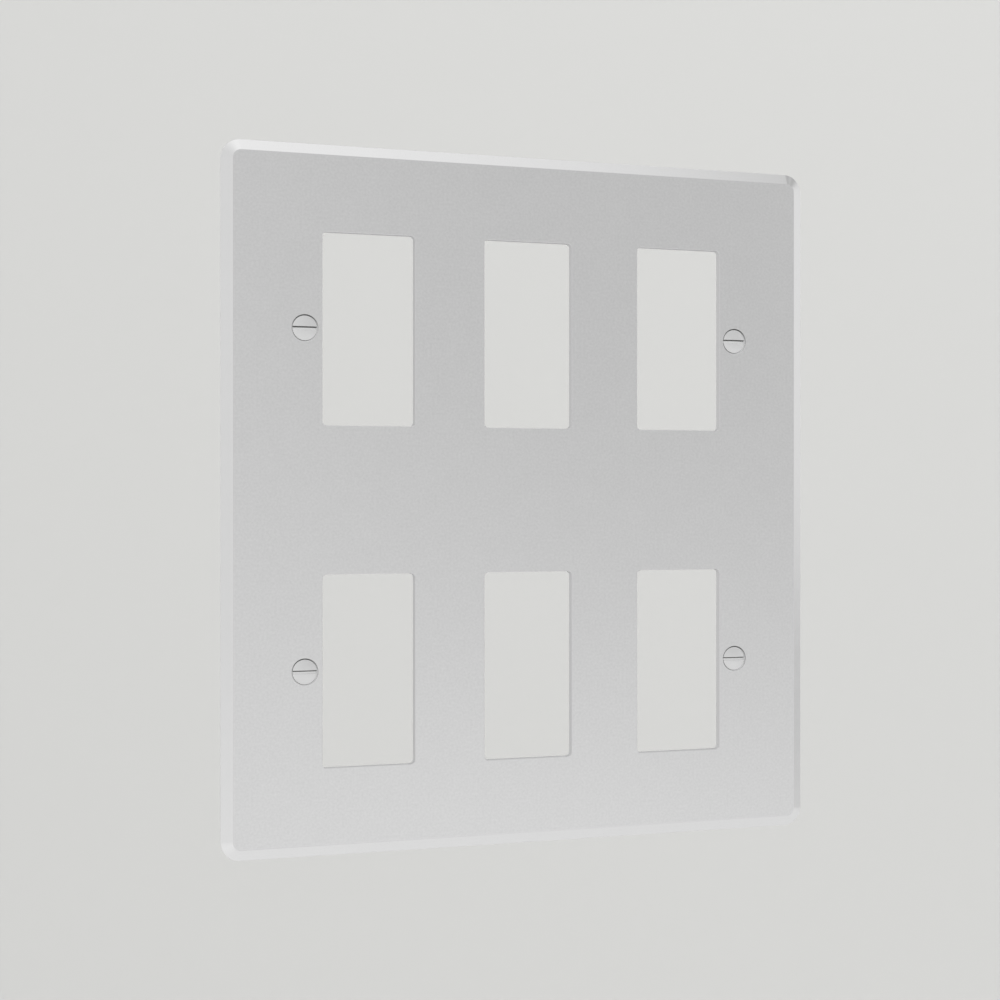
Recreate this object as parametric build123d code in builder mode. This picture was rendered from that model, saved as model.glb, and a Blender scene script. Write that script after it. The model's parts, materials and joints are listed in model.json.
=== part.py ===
from build123d import *
import os

# A flat metal wall plate for six rocker switch modules, with the four screws that hold it.
# +X is to the right, +Z is up and the front faces -Y. The back lies on the wall, in the XZ plane,
# and the origin is the middle of the back. All sizes are in millimetres.

# The plate
plate_width = 163.0
plate_height = 181.6
plate_thickness = 2.0
plate_corner_radius = 5.0
bevel_run = 2.8       # width of the bevel, measured over the face
bevel_drop = 1.45     # how far the bevel falls back; what is left of the edge is square

# The windows for the switch modules
window_width = 24.5
window_height = 49.4
window_corner_radius = 1.1
window_pitch_x = 43.5
window_pitch_z = 87.4
window_columns = 3
window_rows = 2
window_edge_break = 0.12

# The fixing holes, level with the middle of each row of windows
fixing_spacing_x = 120.6
fixing_spacing_z = window_pitch_z
fixing_hole_radius = 2.0
seat_mouth_radius = 3.45
seat_mouth_depth = 0.3    # the cutter goes in this far past the mouth of its cone
seat_angle = 90.0

# The screws: M3.5, raised countersunk head, slotted
thread_radius = 1.75
screw_length = 8.0        # from the rim of the head to the tip, as such screws are sold
tip_chamfer = 0.45
head_radius = 3.2
head_rim_height = 0.35    # the short straight wall between the cone and the dome
head_rim_fillet = 0.12
head_dome_height = 0.35
slot_width = 0.85
slot_depth = 0.7

# Heights above the wall that follow from those sizes. A 90 degree cone narrows as fast as it deepens.
seat_level = plate_thickness - seat_mouth_depth
cone_apex_level = seat_level - seat_mouth_radius
head_cone_level = cone_apex_level + head_radius
shank_level = cone_apex_level + thread_radius
rim_level = head_cone_level + head_rim_height
dome_level = rim_level + head_dome_height
tip_level = rim_level - screw_length

# The plate is cut from one sheet. Its front edge is bevelled all round, more across than down, so
# the corner radius shrinks from the outside of the bevel to the face. The windows are cut through
# and lose only their sharp front edge. Each fixing hole is countersunk to seat its screw head.
with BuildPart() as cover_plate:
    with BuildSketch(Plane.XZ):
        RectangleRounded(plate_width, plate_height, plate_corner_radius)
    extrude(amount=plate_thickness)
    face = cover_plate.faces().sort_by(Axis.Y)[0]
    chamfer(face.edges(), length=bevel_run, length2=bevel_drop, reference=face)
    with BuildSketch(Plane.XZ):
        with GridLocations(window_pitch_x, window_pitch_z, window_columns, window_rows):
            RectangleRounded(window_width, window_height, window_corner_radius)
    extrude(amount=plate_thickness, mode=Mode.SUBTRACT)
    face = cover_plate.faces().sort_by(Axis.Y)[0]
    chamfer(face.inner_wires().edges(), length=window_edge_break)
    with Locations(Plane.XZ.offset(seat_level)):
        with GridLocations(fixing_spacing_x, fixing_spacing_z, 2, 2):
            CounterSinkHole(fixing_hole_radius, seat_mouth_radius, counter_sink_angle=seat_angle)
cover_plate.part.label = "cover_plate"

# One screw stands on its own axis, with the wall at height zero and its head up. Its half section
# is turned about that axis: chamfered tip, shank, seating cone, straight rim and shallow dome.
with BuildPart() as screw:
    with BuildSketch(Plane.XZ):
        with BuildLine():
            Polyline(
                (0, dome_level),
                (0, tip_level),
                (thread_radius - tip_chamfer, tip_level),
                (thread_radius, tip_level + tip_chamfer),
                (thread_radius, shank_level),
                (head_radius, head_cone_level),
                (head_radius, rim_level),
            )
            dome_curvature = (head_radius**2 + head_dome_height**2) / (2 * head_dome_height)
            RadiusArc((head_radius, rim_level), (0, dome_level), -dome_curvature)
        make_face()
    revolve(axis=Axis.Z)
    rim = screw.edges().filter_by(lambda edge: edge.is_closed).sort_by(Axis.Z)[-1]
    fillet(rim, radius=head_rim_fillet)
    with BuildSketch(Plane.XY.offset(dome_level - slot_depth)):
        Rectangle(2 * seat_mouth_radius, slot_width)
    extrude(amount=slot_depth, mode=Mode.SUBTRACT)

# The four screws sit in the fixing holes, each slot turned level.
with BuildPart() as fixing_screws:
    with Locations(Plane.XZ):
        with GridLocations(fixing_spacing_x, fixing_spacing_z, 2, 2):
            add(screw.part)
fixing_screws.part.label = "fixing_screws"

os.makedirs("parts", exist_ok=True)
export_step(cover_plate.part, "parts/cover_plate.step")
export_step(fixing_screws.part, "parts/fixing_screws.step")

print("plate volume, cubic millimetres:", round(cover_plate.part.volume, 1))
print("screws volume, cubic millimetres:", round(fixing_screws.part.volume, 1))
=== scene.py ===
# %% [markdown]
# # A metal plate for rocker switches
#
# The object is a flat plate of satin metal with a bevelled edge and six windows, held by four
# slotted screws. This lesson gives it its finished look, round a imported CAD model that already
# fixes every size. Everything is in metres: +X is to the right, +Z is up, and the face looks
# along -Y. The model's box is measured at once.

# %% Load the imported model
import json
import math
import bmesh
import bpy
import mathutils
import numpy as np
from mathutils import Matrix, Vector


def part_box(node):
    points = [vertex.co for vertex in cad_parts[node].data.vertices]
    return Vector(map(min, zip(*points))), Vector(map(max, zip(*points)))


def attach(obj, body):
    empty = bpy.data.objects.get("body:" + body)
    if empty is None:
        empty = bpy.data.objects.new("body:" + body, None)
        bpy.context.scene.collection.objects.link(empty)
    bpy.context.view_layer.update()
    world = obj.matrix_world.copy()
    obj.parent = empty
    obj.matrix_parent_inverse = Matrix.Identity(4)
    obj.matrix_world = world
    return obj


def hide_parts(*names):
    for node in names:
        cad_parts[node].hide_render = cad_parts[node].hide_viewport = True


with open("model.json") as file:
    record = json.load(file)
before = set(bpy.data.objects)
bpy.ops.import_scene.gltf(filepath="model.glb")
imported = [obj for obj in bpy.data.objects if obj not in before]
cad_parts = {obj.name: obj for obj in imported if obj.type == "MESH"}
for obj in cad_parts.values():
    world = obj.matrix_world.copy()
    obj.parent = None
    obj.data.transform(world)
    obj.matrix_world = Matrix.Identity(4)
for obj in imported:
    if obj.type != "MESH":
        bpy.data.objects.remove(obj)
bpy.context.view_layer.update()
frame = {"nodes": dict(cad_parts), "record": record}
print("packed nodes:", sorted(frame["nodes"]))

# %% [markdown]
# ## Sizes that the model gives
#
# The plate is 2 mm thick, its windows stand in two rows of three, and a screw sits at each end
# of each row. All this could be typed in again, but then two files could drift apart. So the
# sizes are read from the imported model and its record. The record gives each window as a box that
# stays clear of the rounded corners by a small margin, which is added back.

# %% Sizes from the model
MM = 1e-3
MICRON = 1e-6
plate_low, plate_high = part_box("cover_plate")
plate_width = plate_high.x - plate_low.x
plate_height = plate_high.z - plate_low.z
plate_thickness = plate_high.y - plate_low.y

record = frame["record"]
opening_margin = 0.35 * MM
window_boxes = np.array([opening["box_m"] for opening in record["physics"]["openings"]])
window_centres = window_boxes.mean(axis=1)[:, [0, 2]]
window_sizes = np.ptp(window_boxes, axis=1)[:, [0, 2]] + 2 * opening_margin

studs = next(mount for mount in record["mounts"] if mount["kind"] == "bolt_pattern")
thread_radius = studs["dims"]["stud_r_mm"] * MM
screw_reach_x = studs["dims"]["spacing_x_mm"] * MM / 2
screw_reach_z = studs["dims"]["spacing_y_mm"] * MM / 2
screw_centres = [(sx * screw_reach_x, sz * screw_reach_z) for sz in (1, -1) for sx in (-1, 1)]
print("plate", [round(v / MM, 2) for v in (plate_width, plate_height, plate_thickness)], "mm")
print("windows", np.round(window_sizes[0] / MM, 2), "mm, screws at", np.round(screw_centres, 4))

# %% [markdown]
# ## Sizes of the bevel, the holes and the screws
#
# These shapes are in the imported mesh, but not as numbers. They could be measured off it, but its
# arcs are short straight runs, so a radius would come out a little small. Each is named once
# here instead, at the size that the model was drawn with. Two things differ from it: the
# rounding of the screw's rim is finer here, and the floor of the slot, which is level in the
# model, will follow the dome.

# %% Sizes that the record leaves out
plate_corner_radius = 5.0 * MM
bevel_run = 2.8 * MM
bevel_drop = 1.45 * MM
window_corner_radius = 1.1 * MM
window_edge_break = 0.12 * MM
fixing_hole_radius = 2.0 * MM
seat_mouth_radius = 3.45 * MM
seat_mouth_depth = 0.3 * MM
head_radius = 3.2 * MM
head_rim_height = 0.35 * MM
head_rim_fillet = 0.07 * MM
head_dome_height = 0.35 * MM
slot_width = 0.85 * MM
slot_depth = 0.7 * MM
tip_chamfer = 0.45 * MM
thread_pitch = 0.6 * MM
thread_depth = 0.36 * MM
tip_level = -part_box("fixing_screws")[1].y
bevel_angle = math.degrees(math.atan2(bevel_drop, bevel_run))
print("the bevel slopes at", round(bevel_angle, 1), "degrees")
print("the screws reach", round(-tip_level / MM, 2), "mm behind the plate")

# %% [markdown]
# ## A section with rounded corners
#
# The rim of the plate, the side of a window and the side of a screw hole are all the same kind
# of surface: one small section, drawn across the edge of the sheet, that runs round a closed
# outline. They could be cut with booleans and then bevelled, but no real edge is a knife edge,
# and a bevel modifier rounds all edges alike. A section that is worked out has each corner's own
# radius, and knows its exact normals, so every edge catches a clean thin line of light.

# %% Rounding the corners of a section
def rounded_section(corners, radii, metal, steps=5):
    """Points and outward normals of a line of straight runs, as (reach, height) pairs.

    Every inner corner becomes an arc that touches both of its runs. For a radius r and a turn a,
    the arc starts r * tan(a / 2) before the corner, and its point at heading h is its centre plus
    r * (sin h, -cos h) for a left turn, or minus it for a right turn. metal is 1 where the metal
    lies to the right of the line, and -1 where it lies to the left.
    """
    corners = np.asarray(corners, float)
    radii = np.asarray(radii, float)[:, None]
    runs = np.diff(corners, axis=0)
    heading = np.unwrap(np.arctan2(runs[:, 1], runs[:, 0]))
    turn = np.diff(heading)[:, None]
    bend = np.sign(turn)
    ahead = (runs / np.linalg.norm(runs, axis=1, keepdims=True))[:-1]
    left = np.stack([-ahead[:, 1], ahead[:, 0]], axis=1)
    centre = corners[1:-1] - ahead * radii * np.tan(np.abs(turn) / 2) + left * radii * bend
    along = heading[:-1, None] + turn * np.linspace(0, 1, steps)
    swing = np.stack([np.sin(along), -np.cos(along)], axis=-1)
    arcs = centre[:, None] + (radii * bend)[:, :, None] * swing
    points = np.vstack([corners[:1], arcs.reshape(-1, 2), corners[-1:]])
    facing = np.concatenate([heading[:1], along.ravel(), heading[-1:]])
    return points, metal * np.stack([-np.sin(facing), np.cos(facing)], axis=-1)


one_corner, _ = rounded_section([(0, 0), (1, 0), (1, 1)], [0.2], 1)
print("a section with one rounded corner has", len(one_corner), "points")

# %% [markdown]
# ## Outlines as hubs and spokes
#
# The section runs round the plate, round a window or round a hole, so an outline must say where
# it goes for any reach. Scaling one outline up and down would squeeze the section at the
# corners. So each place on the outline has a hub, which stays, and a spoke of length one, which
# points outwards, and a point lies at its hub plus a reach along its spoke. On a rounded
# rectangle the hubs are the middles of the corner arcs, and the sides stay parallel whatever the
# reach.

# %% Two kinds of outline
def rounded_rectangle(size, corner_radius, centre=(0.0, 0.0), steps=12):
    """Hubs and spokes of a rounded rectangle, whose hubs are the middles of its corner arcs."""
    quarter = np.arange(4)[:, None] * math.pi / 2 + np.linspace(0, math.pi / 2, steps + 1)
    spokes = np.stack([np.cos(quarter), np.sin(quarter)], axis=-1).reshape(-1, 2)
    signs = np.repeat([[1, 1], [-1, 1], [-1, -1], [1, -1]], steps + 1, axis=0)
    return np.asarray(centre) + signs * (np.asarray(size) / 2 - corner_radius), spokes


def circle(centre, steps=96):
    """Hubs and spokes of a circle: one hub for all its evenly spaced spokes."""
    turn = np.arange(steps) * 2 * math.pi / steps
    return np.tile(centre, (steps, 1)), np.stack([np.cos(turn), np.sin(turn)], axis=-1)


print("a circle takes", len(circle((0, 0))[0]), "spokes, a rounded rectangle",
      len(rounded_rectangle((1, 1), 0.1)[0]))

# %% [markdown]
# ## Carrying the section round
#
# The section's steps run one way through a grid and the outline's places the other way, so the
# whole surface is one sum of two arrays. Blender's own way is a curve with a bevel shape, but
# that turns the section to follow the path and can't keep it upright at a corner as exactly as
# this does.

# %% The surface and its quads
def carry(section, normals, outline):
    """Points and normals of the surface, as arrays of section step, outline place and axis.

    The point at step s and place t is hub(t) + reach(s) * spoke(t) in the plane of the back, and
    stands height(s) out from it, towards -Y.
    """
    hubs, spokes = outline
    flat = hubs[None] + section[:, None, :1] * spokes[None]
    lift = -np.broadcast_to(section[:, None, 1], flat.shape[:2])
    tilt = normals[:, None, :1] * spokes[None]
    level = -np.broadcast_to(normals[:, None, 1], flat.shape[:2])
    return (np.stack([flat[..., 0], lift, flat[..., 1]], axis=-1),
            np.stack([tilt[..., 0], level, tilt[..., 1]], axis=-1))


def ring_quads(rows, columns):
    """Corner numbers of the quads of a grid whose last column joins its first."""
    row, column = np.meshgrid(np.arange(rows - 1), np.arange(columns), indexing="ij")
    after = (column + 1) % columns
    corners = [row * columns + column, row * columns + after,
               (row + 1) * columns + after, (row + 1) * columns + column]
    return np.stack(corners, axis=-1).reshape(-1, 4)


print("a ring of 3 rows and 8 columns has", len(ring_quads(3, 8)), "quads")

# %% [markdown]
# ## Which way a face looks
#
# A face looks to the side from which its corners run anticlockwise. The picture hides a wrong
# one, but the light and the exported mesh don't. A "recalculate" would guess from the closed
# shape. Here the normals are known already, so each face is compared with them and turned where
# it disagrees.

# %% Faces turned outwards
def turned_outwards(faces, points, normals):
    """The same faces, each with its corners listed so that it looks the way its normals point.

    The cross product of two sides of a face points where the face looks. Where its product with
    the normal at the first corner is negative, the corners are listed backwards.
    """
    a, b, c = (points[faces[:, k]] for k in (0, 1, 2))
    inward = np.einsum("ij,ij->i", np.cross(b - a, c - a), normals[faces[:, 0]]) < 0
    return np.where(inward[:, None], faces[:, ::-1], faces)


one_face = np.array([[0, 1, 2]])
its_corners = np.array([(0, 0, 0), (1, 0, 0), (0, 1, 0)])
print("a face turned over:", turned_outwards(one_face, its_corners, np.tile((0, 0, -1), (3, 1))))

# %% [markdown]
# ## The sheet between the edges
#
# The face and the back are flat sheets with eleven outlines in them. A flat sheet needs no grid,
# only triangles that reach from outline to outline, and Blender's own triangulation of points
# and edges gives them. It also fills the windows and holes, so a triangle whose three corners
# lie on one inner outline is dropped: every inner outline is convex, and such a triangle can
# only lie inside it.

# %% Filling a flat sheet
same_place = 1e-6          # in mm: points nearer than this would be taken for one


def sheet_triangles(rings):
    """Corner numbers of the triangles inside the first ring and outside the others."""
    flat = np.vstack(rings) / MM
    owner = np.repeat(np.arange(len(rings)), [len(ring) for ring in rings])
    first = np.concatenate([[0], np.cumsum([len(ring) for ring in rings])])
    edges = np.vstack([np.stack([np.arange(a, b), np.roll(np.arange(a, b), -1)], axis=1)
                       for a, b in zip(first[:-1], first[1:])])
    points = [mathutils.Vector(p) for p in flat]
    found = mathutils.geometry.delaunay_2d_cdt(points, edges.tolist(), [], 0, same_place)
    came_from = np.array([old[0] for old in found[3]])
    triangles = came_from[np.array(found[2])]
    rings_of = owner[triangles]
    inside_one = (rings_of[:, 0] > 0) & (rings_of.min(axis=1) == rings_of.max(axis=1))
    return triangles[~inside_one]


small_square = np.array([(1, 1), (2, 1), (2, 2), (1, 2)]) * MM
large_square = np.array([(0, 0), (3, 0), (3, 3), (0, 3)]) * MM
print("a square with a square hole takes", len(sheet_triangles([large_square, small_square])),
      "triangles")

# %% [markdown]
# ## Finishes of the plate, as numbers
#
# On the real plate the face is satin, the bevel is polished, the square edge behind it is filed,
# the sides of the windows are plain cut metal, the countersinks are dull, and the back keeps the
# skin of the rolled sheet. The sides of the windows and the countersinks are also given darker
# greys as painted shade. One mesh can hold them all, because a face carries the number of its
# material. So every run of a section names its finish. The cut edges get radii of a few
# hundredths of a millimetre, and the softer corner between the face and the bevel gets more.

# %% Finishes and edge radii
FACE, CUT, BEVEL, BACK, SEAT, EDGE = range(6)
land = 0.4 * MM            # how much of the flat sheet each section takes with it
cut_edge_radius = 0.05 * MM
bevel_edge_radius = 0.30 * MM
print("cut edges are rounded by", round(cut_edge_radius / MM, 2), "mm")
print("the bevel meets the face in a radius of", round(bevel_edge_radius / MM, 2), "mm")

# %% [markdown]
# ## The rim of the plate
#
# The rim is square behind and bevelled in front, and the bevel is wider than it is deep. It
# could be a chamfer on a box with rounded corners. As a section it needs no special case at the
# corners: every point moves inwards along its own spoke, so the corner's radius shrinks from
# 5 mm at the rim to 2.2 mm at the face, and the bevel keeps its width all the way round.

# %% The rim
def rim_edge():
    """From the back, round the square edge, up the bevel and on to the face."""
    r = plate_corner_radius
    edge = plate_thickness - bevel_drop
    corners = [(r - land, 0), (r, 0), (r, edge), (r - bevel_run, plate_thickness),
               (r - bevel_run - land, plate_thickness)]
    section = rounded_section(corners, [cut_edge_radius, cut_edge_radius, bevel_edge_radius], -1)
    outline = rounded_rectangle((plate_width, plate_height), plate_corner_radius, steps=24)
    return section, outline, [BACK, EDGE, BEVEL, FACE]


print("the rim takes", len(rim_edge()[1][0]), "places round the plate")

# %% [markdown]
# ## The windows
#
# Each window is cut straight through the sheet, with tight corners, and only its front edge has
# lost its sharpness. Cutting a solid would leave that edge knife sharp, and it would vanish in
# the picture. Here the broken edge is one more run of the section, 0.12 mm across and down.

# %% The edge of a window
def window_edge(centre, size):
    """From the back, through the sheet and over the broken edge to the face."""
    r = window_corner_radius
    broken = window_edge_break
    corners = [(r + land, 0), (r, 0), (r, plate_thickness - broken), (r + broken, plate_thickness),
               (r + broken + land, plate_thickness)]
    section = rounded_section(corners, [cut_edge_radius] * 3, 1)
    return section, rounded_rectangle(size, r, centre, steps=8), [BACK, CUT, CUT, FACE]


print("window middles, in mm:", np.round(window_centres / MM, 2).tolist())

# %% [markdown]
# ## The screw holes
#
# A clearance hole runs through the sheet, and a 90 degree cone seats the screw. The cutter went
# in a little past its cone, so a short straight mouth is left, and it shows as a thin dark ring
# round the head, made darker by painted shade in the countersink's grey. A cone needs no
# primitive of its own: it is another run of the section.

# %% The edge of a hole
seat_level = plate_thickness - seat_mouth_depth


def hole_edge(centre):
    """From the back, up the hole, out along the seat's cone and up its straight mouth."""
    r = fixing_hole_radius
    cone_start = seat_level - (seat_mouth_radius - r)
    corners = [(r + land, 0), (r, 0), (r, cone_start), (seat_mouth_radius, seat_level),
               (seat_mouth_radius, plate_thickness), (seat_mouth_radius + land, plate_thickness)]
    section = rounded_section(corners, [cut_edge_radius] * 4, 1)
    return section, circle(centre), [BACK, CUT, SEAT, SEAT, FACE]


print("the ring round each head is", round((seat_mouth_radius - head_radius) / MM, 2), "mm wide")

# %% [markdown]
# ## Putting the plate together
#
# The real plate is one piece of metal, so its mesh is one closed skin. Each edge ends in a short
# land on the face and another on the back, and the flat sheets are filled between those ends.
# The sheets use the very points of the edges, so no doubles need merging afterwards.

# %% The plate's skin
def build_plate(edges):
    """Joins the edges with the two flat sheets: points, normals, faces and finishes."""
    points, normals, faces, finishes, backs, fronts = [], [], [], [], [], []
    count = 0
    for (section, facing), outline, run_finishes in edges:
        place, look = carry(section, facing, outline)
        rows, columns = place.shape[:2]
        place, look = place.reshape(-1, 3), look.reshape(-1, 3)
        quads = turned_outwards(ring_quads(rows, columns), place, look)
        steps = (rows - 2) // (len(run_finishes) - 1)
        strips = np.repeat(run_finishes, steps)[:rows - 1]
        points.append(place)
        normals.append(look)
        faces += (quads + count).tolist()
        finishes.append(np.repeat(strips, columns))
        backs.append(np.arange(columns) + count)
        fronts.append(np.arange(columns) + count + (rows - 1) * columns)
        count += rows * columns
    points, normals = np.vstack(points), np.vstack(normals)
    for rings, finish in ((fronts, FACE), (backs, BACK)):
        corner = np.concatenate(rings)
        triangles = corner[sheet_triangles([points[ring][:, [0, 2]] for ring in rings])]
        faces += turned_outwards(triangles, points, normals).tolist()
        finishes.append(np.full(len(triangles), finish))
    return points, normals, faces, np.concatenate(finishes)


edges = [rim_edge()]
edges += [window_edge(centre, size) for centre, size in zip(window_centres, window_sizes)]
edges += [hole_edge(centre) for centre in screw_centres]
plate_points, plate_normals, plate_faces, plate_finishes = build_plate(edges)
print("plate skin:", len(plate_points), "points,", len(plate_faces), "faces")

# %% [markdown]
# ## The plate as an object
#
# Blender would average the normals at each point from the faces around it, and a long thin
# triangle of the face would then pull the shading of the bevel. The exact normals are known, so
# they are given to the mesh. The object stays at the origin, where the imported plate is, and
# stands for it.

# %% The plate's object
def new_piece(name, mesh, node):
    """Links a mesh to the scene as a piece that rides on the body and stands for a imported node."""
    piece = bpy.data.objects.new(name, mesh)
    bpy.context.scene.collection.objects.link(piece)
    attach(piece, "root")
    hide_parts(node)
    return piece


plate_mesh = bpy.data.meshes.new("finished_cover_plate")
plate_mesh.from_pydata(plate_points.tolist(), [], plate_faces)
plate_mesh.polygons.foreach_set("material_index", plate_finishes.astype(np.int32))
plate_mesh.polygons.foreach_set("use_smooth", np.ones(len(plate_faces), bool))
plate_mesh.normals_split_custom_set_from_vertices(plate_normals.tolist())
plate_mesh.validate()
plate_mesh.update()
finished_cover_plate = new_piece("finished_cover_plate", plate_mesh, "cover_plate")
print("made", finished_cover_plate.name)

# %% [markdown]
# ## The levels of a screw
#
# The screws are turned: a shallow dome, a short straight rim, a 90 degree cone that seats in the
# plate, and a threaded shank. A 90 degree cone narrows as fast as it deepens, so the heights
# follow from the radii. They are worked out, and the screw can't fail to touch its seat.

# %% Heights along the screw, from the plate's back
cone_apex = seat_level - seat_mouth_radius
head_cone_level = cone_apex + head_radius
shank_level = cone_apex + thread_radius
rim_level = head_cone_level + head_rim_height
dome_level = rim_level + head_dome_height
dome_radius = (head_radius**2 + head_dome_height**2) / (2 * head_dome_height)
print("the dome stands", round((dome_level - plate_thickness) / MM, 2), "mm above the face")

# %% [markdown]
# ## The profile of a screw
#
# A turned part is a profile spun round an axis, so only that profile is drawn. The shank needs
# many rows, because the thread will change its radius along them, and the dome needs few. A
# Screw or a Spin tool would turn it, but the same grid of rows and columns as before does it in
# one sum.

# %% Shank and head
thread_rows_per_pitch = 16


def shank_profile():
    """(reach, height) from the tip to the cone: a 45 degree chamfer, then the full radius."""
    rows = int((shank_level - tip_level) / thread_pitch * thread_rows_per_pitch)
    height = np.linspace(tip_level, shank_level, rows)
    reach = np.minimum(thread_radius, thread_radius - tip_chamfer + (height - tip_level))
    return np.stack([reach, height], axis=1)


def head_profile(steps=10, fillet_steps=5):
    """(reach, height) up the cone and the rim, round the rim's fillet and over the dome.

    The fillet of radius f touches the rim and the dome, so its centre is f inside the rim and
    dome_radius - f from the dome's own centre.
    """
    dome_centre = dome_level - dome_radius
    inset = head_radius - head_rim_fillet
    rise = math.sqrt((dome_radius - head_rim_fillet)**2 - inset**2)
    touch = math.atan2(rise, inset)
    turn = np.linspace(0, touch, fillet_steps)
    fillet = np.stack([inset + head_rim_fillet * np.cos(turn),
                       dome_centre + rise + head_rim_fillet * np.sin(turn)], axis=1)
    over = np.linspace(touch, math.pi / 2, steps + 1)[1:-1]
    dome = np.stack([dome_radius * np.cos(over), dome_centre + dome_radius * np.sin(over)], axis=1)
    return np.vstack([[(head_radius, head_cone_level)], fillet, dome])


print("profile rows:", len(shank_profile()), "on the shank,", len(head_profile()), "on the head")

# %% [markdown]
# ## The thread
#
# An M3.5 thread climbs 0.6 mm a turn. It could be a helix with a section swept along it, joined
# to a core. But the thread is only a change of radius that depends on the height and the angle,
# so it can be taken off the shank's own grid, with no join. It runs out before it reaches the
# cone.

# %% How deep the thread is cut
crest_share = 0.125        # of the pitch, as on a standard metric thread
root_share = 0.25
run_out_pitches = 1.5


def thread_cut(turn, height):
    """How deep the thread is cut at an angle and a height, in metres.

    The place in the pitch is height / pitch less the share of a turn. A flat crest and a flat root
    are joined by straight flanks, and the cut fades away over the last pitches below the cone.
    """
    place = (height / thread_pitch - turn / (2 * math.pi)) % 1.0
    from_crest = 1.0 - np.abs(2 * place - 1)
    flank = np.clip((from_crest - crest_share) / (1 - crest_share - root_share), 0, 1)
    run_out = np.clip((shank_level - height) / (run_out_pitches * thread_pitch), 0, 1)
    return thread_depth * flank * run_out


one_pitch = tip_level + np.linspace(0, thread_pitch, 99)
print("deepest cut of the thread:", round(float(thread_cut(0.0, one_pitch).max()) / MM, 3), "mm")

# %% [markdown]
# ## Turning the screw
#
# Now the profile is spun round its axis, which lies along Y. The reach of each row is the
# smaller of the profile's and the thread's, so that the chamfer at the tip cuts the thread away
# as it does on a real screw. The two ends are closed with one flat face each.

# %% The screw before its slot
def turned_screw(columns=72):
    """Points and faces of the screw on its own axis, before the slot is cut."""
    shank, head = shank_profile(), head_profile()
    profile = np.vstack([shank, head])
    turn = np.arange(columns) * 2 * math.pi / columns
    reach = np.repeat(profile[:, :1], columns, axis=1)
    core = thread_radius - thread_cut(turn[None], shank[:, 1:])
    reach[:len(shank)] = np.minimum(reach[:len(shank)], core)
    height = np.broadcast_to(profile[:, 1:], reach.shape)
    points = np.stack([reach * np.cos(turn), -height, reach * np.sin(turn)], axis=-1)
    points = points.reshape(-1, 3)
    away_from_axis = points * [1, 0, 1]
    faces = turned_outwards(ring_quads(len(profile), columns), points, away_from_axis).tolist()
    faces.append(list(range(columns))[::-1])
    last = (len(profile) - 1) * columns
    faces.append(list(range(last, last + columns)))
    return points, faces


screw_points, screw_faces = turned_screw()
print("turned screw:", len(screw_points), "points,", len(screw_faces), "faces")

# %% [markdown]
# ## The cutter of the slot
#
# The slot runs right across the head and out through the rim. Its floor follows the dome, so the
# shadow in it is as thick at its ends as in the middle. Its walls could be built into the grid
# of the screw, but they would have to meet a curved head exactly. So a thin block is made that
# has the shape of the slot: a grid of four columns, whose low side is the floor of the slot.

# %% The cutter
def closed_shape(name, points, faces):
    """A linked object whose mesh is those faces, all made to look outwards."""
    mesh = bpy.data.meshes.new(name)
    mesh.from_pydata(points, [], faces)
    shape = bmesh.new()
    shape.from_mesh(mesh)
    bmesh.ops.recalc_face_normals(shape, faces=shape.faces)
    shape.to_mesh(mesh)
    shape.free()
    thing = bpy.data.objects.new(name, mesh)
    bpy.context.scene.collection.objects.link(thing)
    return thing


def slot_floor(x):
    """The height of the slot's floor at x: the slot's depth below the dome, level past the rim.

    The dome's height above its own centre is sqrt(dome radius squared - x squared).
    """
    inside = np.minimum(np.abs(x), head_radius)
    return dome_level - dome_radius + np.sqrt(dome_radius**2 - inside**2) - slot_depth


def slot_cutter(steps=48):
    """A block as wide as the slot, longer than the head, whose low side is the slot's floor."""
    half, overhang = slot_width / 2, 2 * head_radius
    over_head = np.linspace(-head_radius, head_radius, steps + 1)
    x = np.concatenate([[-overhang], over_head, [overhang]])
    low, high = slot_floor(x), np.full(len(x), dome_level + slot_depth)
    height = np.stack([low, low, high, high], axis=1)
    along = np.repeat(x[:, None], 4, axis=1)
    across = np.broadcast_to([-half, half, half, -half], height.shape)
    points = np.stack([along, -height, across], axis=-1).reshape(-1, 3)
    ends = [[0, 1, 2, 3], list(range(len(points) - 4, len(points)))]
    return closed_shape("slot_cutter", points.tolist(), ring_quads(len(x), 4).tolist() + ends)


print("the slot's floor falls by", round((slot_floor(0) - slot_floor(head_radius)) / MM, 2), "mm")

# %% [markdown]
# ## Cutting the slot
#
# On the real screw a saw or a mill takes the slot out of the finished head, and a boolean does
# the same. Its exact solver needs both shapes closed, with all faces outwards, which was made
# sure of above. The cut is read off the modifier as a mesh at once, because the screw gets three
# more copies and its edges are still to be eased.

# %% The cut
weld_distance = 1e-4 * MM


def cut_away(blank, cutter):
    """The blank's shape with the cutter's taken out of it. Both objects are removed."""
    cut = blank.modifiers.new("slot", "BOOLEAN")
    cut.operation = "DIFFERENCE"
    cut.solver = "EXACT"
    cut.object = cutter
    seen = blank.evaluated_get(bpy.context.evaluated_depsgraph_get())
    shape = bmesh.new()
    shape.from_mesh(seen.to_mesh())
    for thing in (blank, cutter):
        bpy.data.objects.remove(thing)
    bmesh.ops.remove_doubles(shape, verts=shape.verts, dist=weld_distance)
    return shape


screw_blank = closed_shape("screw_blank", screw_points.tolist(), screw_faces)
screw_shape = cut_away(screw_blank, slot_cutter())
print("slotted screw:", len(screw_shape.faces), "faces")

# %% [markdown]
# ## Easing the slot's edges
#
# A fresh slot has a fine burr that is brushed off, so its edges catch a thin light line. Only
# those edges may be eased, because the thread and the seat must stay as they are. They are found
# by where they lie and by how sharply their two faces meet, and get a bevel of two small steps.

# %% A small bevel along the slot
slack = MICRON
slot_edge_bevel = 0.035 * MM
sharp_angle = 0.5          # radians between the normals of the two faces


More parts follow.
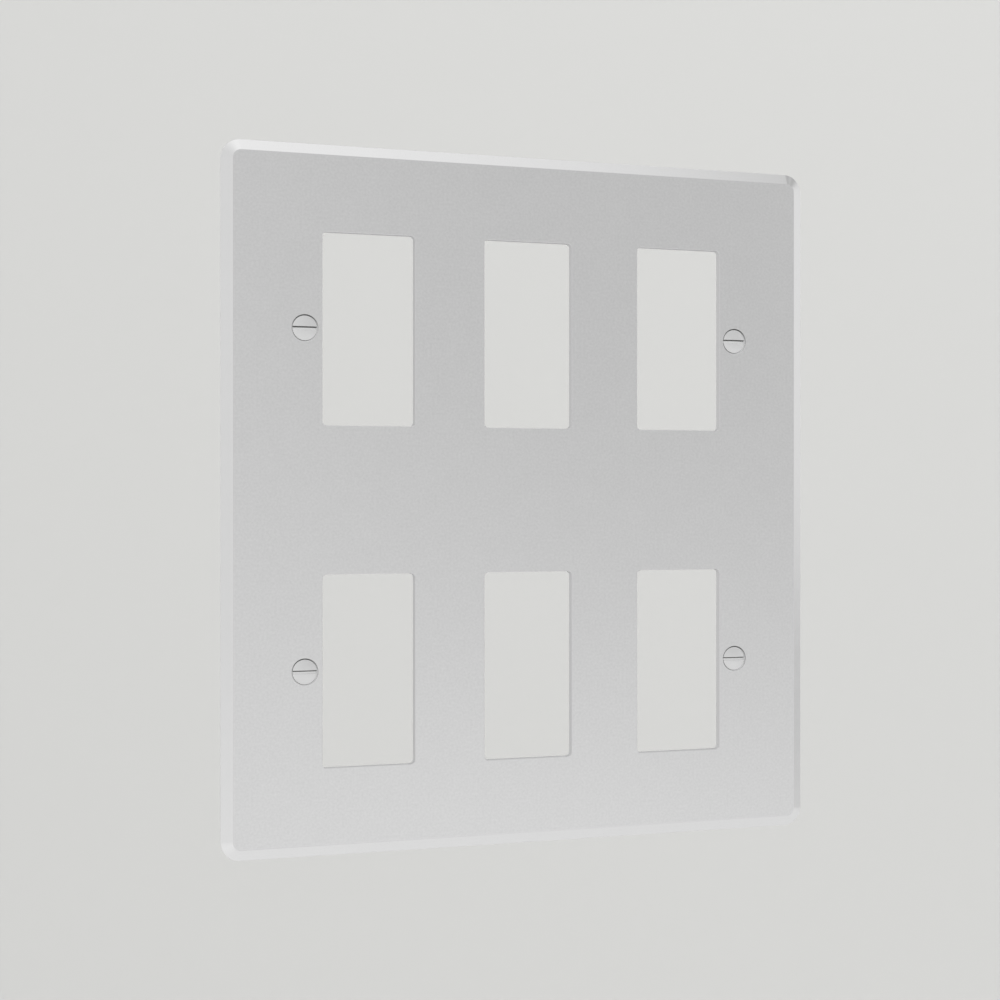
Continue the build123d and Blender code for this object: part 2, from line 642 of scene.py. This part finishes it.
def in_slot(place):
    """Whether a place lies between the slot's walls and above its floor, within the slack."""
    return abs(place.z) < slot_width / 2 + slack and -place.y > slot_floor(place.x) - slack


slot_edges = [edge for edge in screw_shape.edges
              if edge.calc_face_angle(0) > sharp_angle and all(in_slot(v.co) for v in edge.verts)]
bmesh.ops.bevel(screw_shape, geom=slot_edges, offset=slot_edge_bevel, segments=2, profile=0.5,
                affect="EDGES", clamp_overlap=True)
print("eased", len(slot_edges), "edges of the slot")

# %% [markdown]
# ## Finishes of the screw, as numbers
#
# The dome was turned and buffed, the rim shines, the slot is raw where no buff reaches and its
# dark grey is painted shade, and the thread is plated. A place on the screw tells which it is: the
# slot lies between its two walls, the thread and the cone below the rim, and the rim further out
# than the dome.

# %% Marking the screw's faces
DOME, RECESS, THREAD, RIM = range(4)
wall_facing = 0.9          # a wall of the slot has a normal with at least this much of Z


def screw_finish(face):
    """The finish of one face, from its middle and the way it looks."""
    middle = face.calc_center_median()
    wall_of_slot = abs(face.normal.z) > wall_facing
    floor_of_slot = -middle.y < slot_floor(middle.x) + slack
    if in_slot(middle) and (wall_of_slot or floor_of_slot):
        return RECESS
    if -middle.y < head_cone_level - slack:
        return THREAD
    return RIM if math.hypot(middle.x, middle.z) > head_radius - head_rim_fillet else DOME


for face in screw_shape.faces:
    face.material_index = screw_finish(face)
    face.smooth = True
screw_mesh = bpy.data.meshes.new("fixing_screw")
screw_shape.to_mesh(screw_mesh)
screw_shape.free()
screw_marks = np.zeros(len(screw_mesh.polygons), np.int32)
screw_mesh.polygons.foreach_get("material_index", screw_marks)
print("faces of the dome, recess, thread and rim:", np.bincount(screw_marks).tolist())

# %% [markdown]
# ## Four screws
#
# All four screws are alike, and each slot is level. Linked copies would share one mesh and be
# moved as objects. Here each copy has its own mesh with its place in it, so that every object
# stays at the origin and a pattern on it stays where it is put. A Weighted Normal modifier keeps
# the large flat faces, such as the slot's walls, from being shaded by the small ones beside
# them.

# %% Placing the screws
places = ["upper_left", "upper_right", "lower_left", "lower_right"]
fixing_screws = []
for place, (x, z) in zip(places, screw_centres):
    mesh = screw_mesh.copy()
    mesh.transform(mathutils.Matrix.Translation((x, 0, z)))
    screw = new_piece("fixing_screw_" + place, mesh, "fixing_screws")
    weighted = screw.modifiers.new("flat faces stay flat", "WEIGHTED_NORMAL")
    weighted.keep_sharp = True
    fixing_screws.append(screw)
print("screws:", [screw.name for screw in fixing_screws])

# %% [markdown]
# ## Shader sums
#
# A finish is a sum of patterns, and sums read best as Python. Wiring each Math node by hand
# takes five lines for one plus sign. A small class wraps a shader socket instead, so that an
# expression on wires adds the Math nodes it needs, and every other node comes from one method.

# %% Wires
class Wire:
    """A shader socket, or the tree alone when the socket is left out, that can be used in sums."""

    def __init__(self, tree, socket=None):
        self.tree = tree
        self.socket = socket

    def node(self, kind, settings=None, values=None, out=0):
        """Adds a node: its settings first, then the values or wires of its inputs."""
        made = self.tree.nodes.new(kind)
        for name, value in (settings or {}).items():
            setattr(made, name, value)
        for name, value in (values or {}).items():
            if isinstance(value, Wire):
                self.tree.links.new(value.socket, made.inputs[name])
            else:
                made.inputs[name].default_value = value
        return Wire(self.tree, made.outputs[out])

    def maths(self, operation, *values):
        return self.node("ShaderNodeMath", {"operation": operation}, dict(enumerate(values)))

    def __add__(self, other):
        return self.maths("ADD", self, other)

    def __sub__(self, other):
        return self.maths("SUBTRACT", self, other)

    def __rsub__(self, other):
        return self.maths("SUBTRACT", other, self)

    def __mul__(self, other):
        return self.maths("MULTIPLY", self, other)

    def __truediv__(self, other):
        return self.maths("DIVIDE", self, other)

    def __pow__(self, other):
        return self.maths("POWER", self, other)

    __radd__ = __add__
    __rmul__ = __mul__


print("a wire takes the operators + - * / and **")

# %% [markdown]
# ## Patterns that the finishes share
#
# Fine grain, streaks and clouds on metal are all noise of one size or another, stretched or not.
# An image would blur when it is looked at closely and would need unwrapping. Noise on the
# object's own coordinates is sharp at any distance and is given its size in metres. Every finish
# turns its patterns into a grey, a roughness and a height, so one function makes the material
# round them.

# %% Noise and the metal round it
def noise(wire, size, detail=2.0, stretch=(1, 1, 1)):
    """Cloudy noise around zero, from about -0.5 to 0.5, whose lumps are about size across."""
    place = wire.node("ShaderNodeTexCoord", out="Object")
    scaled = wire.node("ShaderNodeMapping", None,
                       {"Vector": place, "Scale": [s / size for s in stretch]})
    return wire.node("ShaderNodeTexNoise", None,
                     {"Vector": scaled, "Scale": 1.0, "Detail": detail}) - 0.5


def metal_finish(name, paint, metallic=1.0, edge_tint=1.0):
    """A bare metal material. paint gives its grey, its roughness and its height as wires."""
    material = bpy.data.materials.new(name)
    material.use_nodes = True
    tree = material.node_tree
    shader = next(n for n in tree.nodes if n.type == "BSDF_PRINCIPLED")
    wire = Wire(tree)
    level, roughness, height = paint(wire)
    grey = wire.node("ShaderNodeCombineColor", None, {"Red": level, "Green": level, "Blue": level})
    bump = wire.node("ShaderNodeBump", None, {"Strength": 1.0, "Distance": 1.0, "Height": height})
    shader.inputs["Metallic"].default_value = metallic
    shader.inputs["Specular Tint"].default_value = (edge_tint, edge_tint, edge_tint, 1)
    tree.links.new(grey.socket, shader.inputs["Base Color"])
    tree.links.new(roughness.socket, shader.inputs["Roughness"])
    tree.links.new(bump.socket, shader.inputs["Normal"])
    return material


METAL_LEVEL = 0.74
print("the metal gives back", METAL_LEVEL, "of the light")

# %% [markdown]
# ## The satin face
#
# The face is an even satin with no brushing direction, as blasting or etching leaves it. Seen
# close, a fine grain mottles its tone by about a percent. An anisotropic shader would be right
# for brushed metal, but here the grain is noise 0.65 mm across, mostly in the grey and hardly in
# the bump, because a stronger bump would sparkle where the real face stays calm.

# %% Satin
def satin(wire):
    """Fine even grain, with faint clouds a few millimetres across."""
    grain = noise(wire, 0.65 * MM)
    clouds = noise(wire, 5 * MM)
    level = METAL_LEVEL + grain * 0.13 + clouds * 0.02
    return level, 0.30 + grain * 0.06 + clouds * 0.02, grain * (0.15 * MICRON)


satin_face = metal_finish("satin_face", satin)
print("made", satin_face.name)

# %% [markdown]
# ## The polished bevel
#
# The bevel is the same metal, buffed. It mirrors a narrower part of the room than the face does,
# so each of its four sides has a tone of its own. Its colour could be made lighter by hand, but
# a lower roughness does it as the metal does, and stays right when the view changes.

# %% Polish
def polished(wire):
    """Nearly bright, with the faintest haze left by the buff."""
    haze = noise(wire, 3 * MM)
    return METAL_LEVEL + haze * 0.02, 0.14 + haze * 0.04, haze * (0.2 * MICRON)


polished_bevel = metal_finish("polished_bevel", polished)
print("made", polished_bevel.name)

# %% [markdown]
# ## Cut and filed edges
#
# The sides of the windows show the bare cut, with streaks through the sheet where the tool went.
# Their grey and their edge tint are set darker than the face's: partly for the bare cut, and
# partly as painted shade, which darkens what these narrow walls mirror. The square edge of the
# plate was filed along its length. Both are the same idea, noise that is stretched along the way
# of the tool: less in Y for the first, and less in X and Z for the second.

# %% Tool marks
def cut_metal_with_painted_shade(wire):
    """Cut metal with streaks through the sheet, darker than the face partly as painted shade."""
    streaks = noise(wire, 0.25 * MM, stretch=(1, 0.15, 1))
    # The grey of 0.65 is partly painted shade on the sides of the windows.
    return 0.65 + streaks * 0.08, 0.36 + streaks * 0.08, streaks * MICRON


def filed_metal(wire):
    """The square edge, filed smooth: as light as the face, with faint lines along the sheet."""
    lines = noise(wire, 0.2 * MM, stretch=(0.1, 1, 0.1))
    return 0.70 + lines * 0.05, 0.32 + lines * 0.06, lines * (0.5 * MICRON)


# The edge tint of 0.7 dims the grazing reflections of the window sides: painted shade.
cut_edge = metal_finish("cut_edge", cut_metal_with_painted_shade, edge_tint=0.7)
filed_edge = metal_finish("filed_edge", filed_metal)
print("made", cut_edge.name, "and", filed_edge.name)

# %% [markdown]
# ## The rolled back
#
# Nobody finishes the back of such a plate, so it keeps the dull skin of the sheet: long fine
# lines the way it was rolled, and faint clouds. Real lines run the whole height. Noise stretched
# fifty times is nearly that, and costs no more than the rest.

# %% Rolled skin
def rolled_skin(wire):
    """The dull skin of the rolled sheet, with fine lines along the way it was rolled."""
    lines = noise(wire, 0.3 * MM, stretch=(1, 1, 0.02))
    clouds = noise(wire, 22 * MM)
    return 0.64 + lines * 0.08 + clouds * 0.05, 0.42 + clouds * 0.1, lines * MICRON


rolled_back = metal_finish("rolled_back", rolled_skin)
print("made", rolled_back.name)

# %% [markdown]
# ## Dull recesses with painted shade
#
# The slot and the countersink are the two places that no buff reaches. Rough metal in a narrow
# gap gives back little light, and what it gives is even. A metal shader would mirror the room
# there, and look as bright as the face. So these two are nearly matt: hardly metallic, dark and
# rough. Their dark grey is painted shade too, which makes the slot and the ring round each head
# darker than the lamps alone make them.

# %% The slot and the countersink
RECESS_METALLIC = 0.05


def slot_metal_with_painted_shade(wire):
    """The matt skin of metal inside the slot, with a dark grey that is painted shade."""
    specks = noise(wire, 0.2 * MM, detail=3.0)
    # The grey of 0.25 is painted shade in the slot.
    return 0.25 + specks * 0.04, 0.6 + specks * 0.1, specks * MICRON


def seat_metal_with_painted_shade(wire):
    """The countersink as the cutter left it, duller still, with a dark grey that is painted shade.
    """
    specks = noise(wire, 0.2 * MM, detail=3.0)
    # The grey of 0.25 is painted shade in the countersink.
    return 0.25 + specks * 0.05, 0.7 + specks * 0.1, specks * MICRON


raw_recess_with_painted_shade = metal_finish("raw_recess_with_painted_shade", slot_metal_with_painted_shade, metallic=RECESS_METALLIC)
# The countersink material's dark grey is painted shade.
countersink = metal_finish("countersink", seat_metal_with_painted_shade, metallic=RECESS_METALLIC)
print("made", raw_recess_with_painted_shade.name, "and", countersink.name)

# %% [markdown]
# ## The turned heads
#
# A lathe leaves fine rings round the axis of a screw, and the light on the dome breaks up on
# them. Rings could be modelled, at a great cost in faces. Here they are a sine of the distance
# from the axis, in the bump alone. The four axes lie at the same |x| and |z|, so one sum serves
# all screws.

# %% Rings of the lathe
ring_spacing = 0.11 * MM


def from_axis(wire):
    """The distance from the axis of the nearest screw: the root of dx squared plus dz squared."""
    place = wire.node("ShaderNodeTexCoord", out="Object")
    x = wire.node("ShaderNodeSeparateXYZ", None, {0: place}, out="X")
    z = wire.node("ShaderNodeSeparateXYZ", None, {0: place}, out="Z")
    dx = wire.maths("ABSOLUTE", x) - screw_reach_x
    dz = wire.maths("ABSOLUTE", z) - screw_reach_z
    return (dx * dx + dz * dz) ** 0.5


def turned_metal(wire):
    """Fine rings left by the lathe round the screw's axis, under a dull shine."""
    rings = wire.maths("SINE", from_axis(wire) * (2 * math.pi / ring_spacing))
    haze = noise(wire, 0.6 * MM)
    return 0.76 + haze * 0.04, 0.42 + haze * 0.06, rings * (0.1 * MICRON)


turned_dome = metal_finish("turned_dome", turned_metal)
polished_rim = metal_finish("polished_rim", polished)
print("made", turned_dome.name, "and", polished_rim.name)
print("the lathe's rings are", round(ring_spacing / MM, 2), "mm apart")

# %% [markdown]
# ## The thread's plating
#
# The thread is only seen from behind. It is plated steel, a little uneven, because plating
# gathers on the crests. Rings of the thread's own pitch would show that, but they would need the
# helix again, and broad patches of noise are enough at this size.

# %% Plating
def plating(wire):
    """Plated steel, a little uneven from place to place."""
    patches = noise(wire, 0.8 * MM)
    return 0.6 + patches * 0.12, 0.34 + patches * 0.12, patches * MICRON


plated_thread = metal_finish("plated_thread", plating)
print("made", plated_thread.name)

# %% [markdown]
# ## Putting the finishes on
#
# A face only knows the number of its finish, so each object needs its materials in the order of
# those numbers. A list in the right order would do, but it breaks silently when a number
# changes. A table from number to material can't.

# %% Materials in the order of their numbers
plate_materials = {FACE: satin_face, CUT: cut_edge, BEVEL: polished_bevel, BACK: rolled_back,
                   SEAT: countersink, EDGE: filed_edge}
screw_materials = {DOME: turned_dome, RECESS: raw_recess_with_painted_shade, THREAD: plated_thread, RIM: polished_rim}
for piece in [finished_cover_plate] + fixing_screws:
    table = plate_materials if piece is finished_cover_plate else screw_materials
    for number in sorted(table):
        piece.data.materials.append(table[number])
print("plate:", [finish.name for finish in finished_cover_plate.data.materials])
print("screws:", [finish.name for finish in fixing_screws[0].data.materials])

# %% [markdown]
# ## Floor and backdrop
#
# The plate is shown in front of a pale sweep, as in a studio: a floor that curves up into an
# upright back, so that no line shows where they meet. A plane for each would leave that line. It
# is again a profile, here carried straight to both sides.

# %% The sweep
floor_level = -0.75
floor_front = -2.5
sweep_bend = 0.3
sweep_back = 0.6
sweep_top = 3.0
half_width = 3.0


def sweep_profile(steps=24):
    """(y, z) from the floor in front, round a quarter circle, and up the back."""
    turn = np.linspace(-math.pi / 2, 0, steps)
    bend = np.stack([sweep_back + sweep_bend * np.cos(turn),
                     floor_level + sweep_bend + sweep_bend * np.sin(turn)], axis=1)
    return np.vstack([[(floor_front, floor_level)], bend, [(sweep_back + sweep_bend, sweep_top)]])


profile = sweep_profile()
rows = len(profile)
sweep_points = np.concatenate([np.insert(profile, 0, side, axis=1)
                               for side in (-half_width, half_width)])
sweep_faces = [(k, k + rows, k + rows + 1, k + 1) for k in range(rows - 1)]
sweep_mesh = bpy.data.meshes.new("pale_sweep")
sweep_mesh.from_pydata(sweep_points.tolist(), [], sweep_faces)
sweep_mesh.polygons.foreach_set("use_smooth", np.ones(rows - 1, bool))
pale_sweep = bpy.data.objects.new("pale_sweep", sweep_mesh)
bpy.context.scene.collection.objects.link(pale_sweep)
print("the sweep is", 2 * half_width, "m wide")
print("its back stands", round(sweep_back + sweep_bend, 2), "m behind the plate")

# %% [markdown]
# ## The paper of the sweep
#
# The sweep is matt paper, very slightly warm. A second noise on it would only be taken for dirt,
# so it is left plain. It is hidden from glossy rays: the metal mirrors the room that is made
# below, and a second floor in that mirror would darken the bevel.

# %% Paper
paper_colour = (0.451, 0.451, 0.443, 1)
paper_roughness = 0.9
paper_specular = 0.1
paper = bpy.data.materials.new("pale_paper")
paper.use_nodes = True
paper_shader = next(n for n in paper.node_tree.nodes if n.type == "BSDF_PRINCIPLED")
paper_shader.inputs["Base Color"].default_value = paper_colour
paper_shader.inputs["Roughness"].default_value = paper_roughness
paper_shader.inputs["Specular IOR Level"].default_value = paper_specular
sweep_mesh.materials.append(paper)
pale_sweep.visible_glossy = False
print("made", paper.name)

# %% [markdown]
# ## The pale room
#
# Satin metal has little tone of its own: it shows what stands in front of it. A real studio puts
# white cards there. Cards would do here too, but their edges show in the bevel, so the room is
# made of soft glows instead, each a smooth lobe round one direction, lighter or darker than the
# room: a bright one overhead, a pale floor in front, and a dimmer gap between them to the right.

# %% Glows
ROOM_LEVEL = 0.864         # what the metal mirrors where no glow reaches
glows = [  # azimuth and elevation in degrees, seen from the plate; width in degrees; amount
    (21.4, -14.5, 13.4, 0.403), (2.7, 69.8, 28, 0.358), (23.6, -2.7, 13.6, -0.294),
    (-45.3, -3.6, 7.4, -0.069), (-44, -27.3, 27.5, 0.16), (88, 10, 17.7, 0.104),
    (83.3, -6.1, 4.9, -0.261), (86.3, -28.4, 19.7, 0.052), (63.3, 52.9, 6.4, -0.4),
    (85.5, 41.4, 10.9, -0.444), (30.1, -90.8, 34.5, 0.269), (23, 32.4, 29.8, -0.235),
    (11.6, -40.8, 21.3, -0.19),
]


def glow(wire, direction, azimuth, elevation, width, amount):
    """A soft lobe of light: amount * exp((cos(angle from its middle) - 1) / (1 - cos(width)))."""
    a, e = math.radians(azimuth), math.radians(elevation)
    middle = (math.sin(a) * math.cos(e), -math.cos(a) * math.cos(e), math.sin(e))
    cosine = wire.node("ShaderNodeVectorMath", {"operation": "DOT_PRODUCT"},
                       {0: direction, 1: middle}, out="Value")
    spread = 1 - math.cos(math.radians(width))
    return wire.maths("EXPONENT", (cosine - 1) / spread) * amount


print("the room has", len(glows), "glows")

# %% [markdown]
# ## What each ray sees
#
# A room that suits the mirror would be too patchy to look at and would light matt things from
# all sides at once. Two worlds can't be had, but a world can ask what kind of ray has reached
# it. Glossy rays, which are what the metal mirrors, find the glows. The camera itself sees one
# even pale tone past the sweep. Matt things get only a little light from the room, because the
# lamps light those.

# %% The room
SEEN_LEVEL = 0.68          # what the camera sees past the sweep
FILL_LEVEL = 0.1           # what lights matt things
world = bpy.data.worlds.new("pale_room")
bpy.context.scene.world = world
world.use_nodes = True
room = Wire(world.node_tree)
direction = room.node("ShaderNodeTexCoord", out="Generated")
reflected = sum((glow(room, direction, *lobe) for lobe in glows), ROOM_LEVEL)
mirrored = room.node("ShaderNodeLightPath", out="Is Glossy Ray")
seen = room.node("ShaderNodeLightPath", out="Is Camera Ray")
strength = mirrored * reflected + seen * SEEN_LEVEL + (1 - mirrored - seen) * FILL_LEVEL
background = next(n for n in world.node_tree.nodes if n.type == "BACKGROUND")
background.inputs["Color"].default_value = (1, 1, 1, 1)
world.node_tree.links.new(strength.socket, background.inputs["Strength"])
print("made the world", world.name)

# %% [markdown]
# ## Lamps
#
# Three soft square lamps light what isn't metal. The key lamp, high in front and a little to the
# left, lights the recesses of the plate and the screws. Two more light the sweep, one its back
# and one its floor, so evenly that they need to stand where they would flood the plate. Light
# linking solves that: each lamp has its own group of things to light and to be shaded by, so the
# plate throws no shadow on the sweep.

# %% The lamps and what they light
def group(name, things):
    """A named group of things that a lamp may be told to light."""
    made = bpy.data.collections.new(name)
    for thing in things:
        made.objects.link(thing)
    return made


def soft_lamp(name, direction, distance, size, power, lights):
    """A square lamp that faces the plate from a direction, and lights one group of things only."""
    lamp_data = bpy.data.lights.new(name, "AREA")
    lamp_data.size = size
    lamp_data.energy = power
    lamp = bpy.data.objects.new(name, lamp_data)
    away = mathutils.Vector(direction).normalized()
    lamp.location = away * distance
    lamp.rotation_euler = away.to_track_quat("Z", "Y").to_euler()
    bpy.context.scene.collection.objects.link(lamp)
    lamp.visible_glossy = False
    lamp.light_linking.receiver_collection = lights
    lamp.light_linking.blocker_collection = lights
    return lamp


pieces = group("pieces", [finished_cover_plate] + fixing_screws)
backdrop = group("backdrop", [pale_sweep])
lamps = [
    soft_lamp("key_lamp", direction=(-0.12, -1.0, 0.48), distance=5.0, size=0.5, power=640,
              lights=pieces),
    soft_lamp("backdrop_lamp", direction=(0.36, -1.0, 0.38), distance=14.0, size=2.0, power=2210,
              lights=backdrop),
    soft_lamp("floor_lamp", direction=(0.16, -0.12, 1.0), distance=4.2, size=2.0, power=177,
              lights=backdrop),
]
print("lamps:", {lamp.name: lamp.data.energy for lamp in lamps})

# %% [markdown]
# ## Camera
#
# The photo was taken from the left of the plate and level with its middle, with a lens of about
# 64 mm on a 36 mm frame. A camera could be set by eye, but a small error in its angle shows in
# every edge. These numbers come from fitting one camera to the plate's edges and screws. The
# view transform is the plain one, so that a pale tone stays as pale as the light makes it.

# %% The camera
lens_length = 64.16        # in mm, as camera makers give it
film_width = 36
camera_place = (-160.0 * MM, -446.0 * MM, 0.0)
camera_turn = -18.9        # degrees: it stands to the left and looks to the right
camera_data = bpy.data.cameras.new("camera")
camera_data.lens = lens_length
camera_data.sensor_width = film_width
camera = bpy.data.objects.new("camera", camera_data)
camera.location = camera_place
camera.rotation_euler = (math.radians(90), 0, math.radians(camera_turn))
bpy.context.scene.collection.objects.link(camera)
bpy.context.scene.camera = camera
bpy.context.scene.view_settings.view_transform = "Standard"
print("the camera stands", round(camera.location.length, 3), "m from the plate's middle")
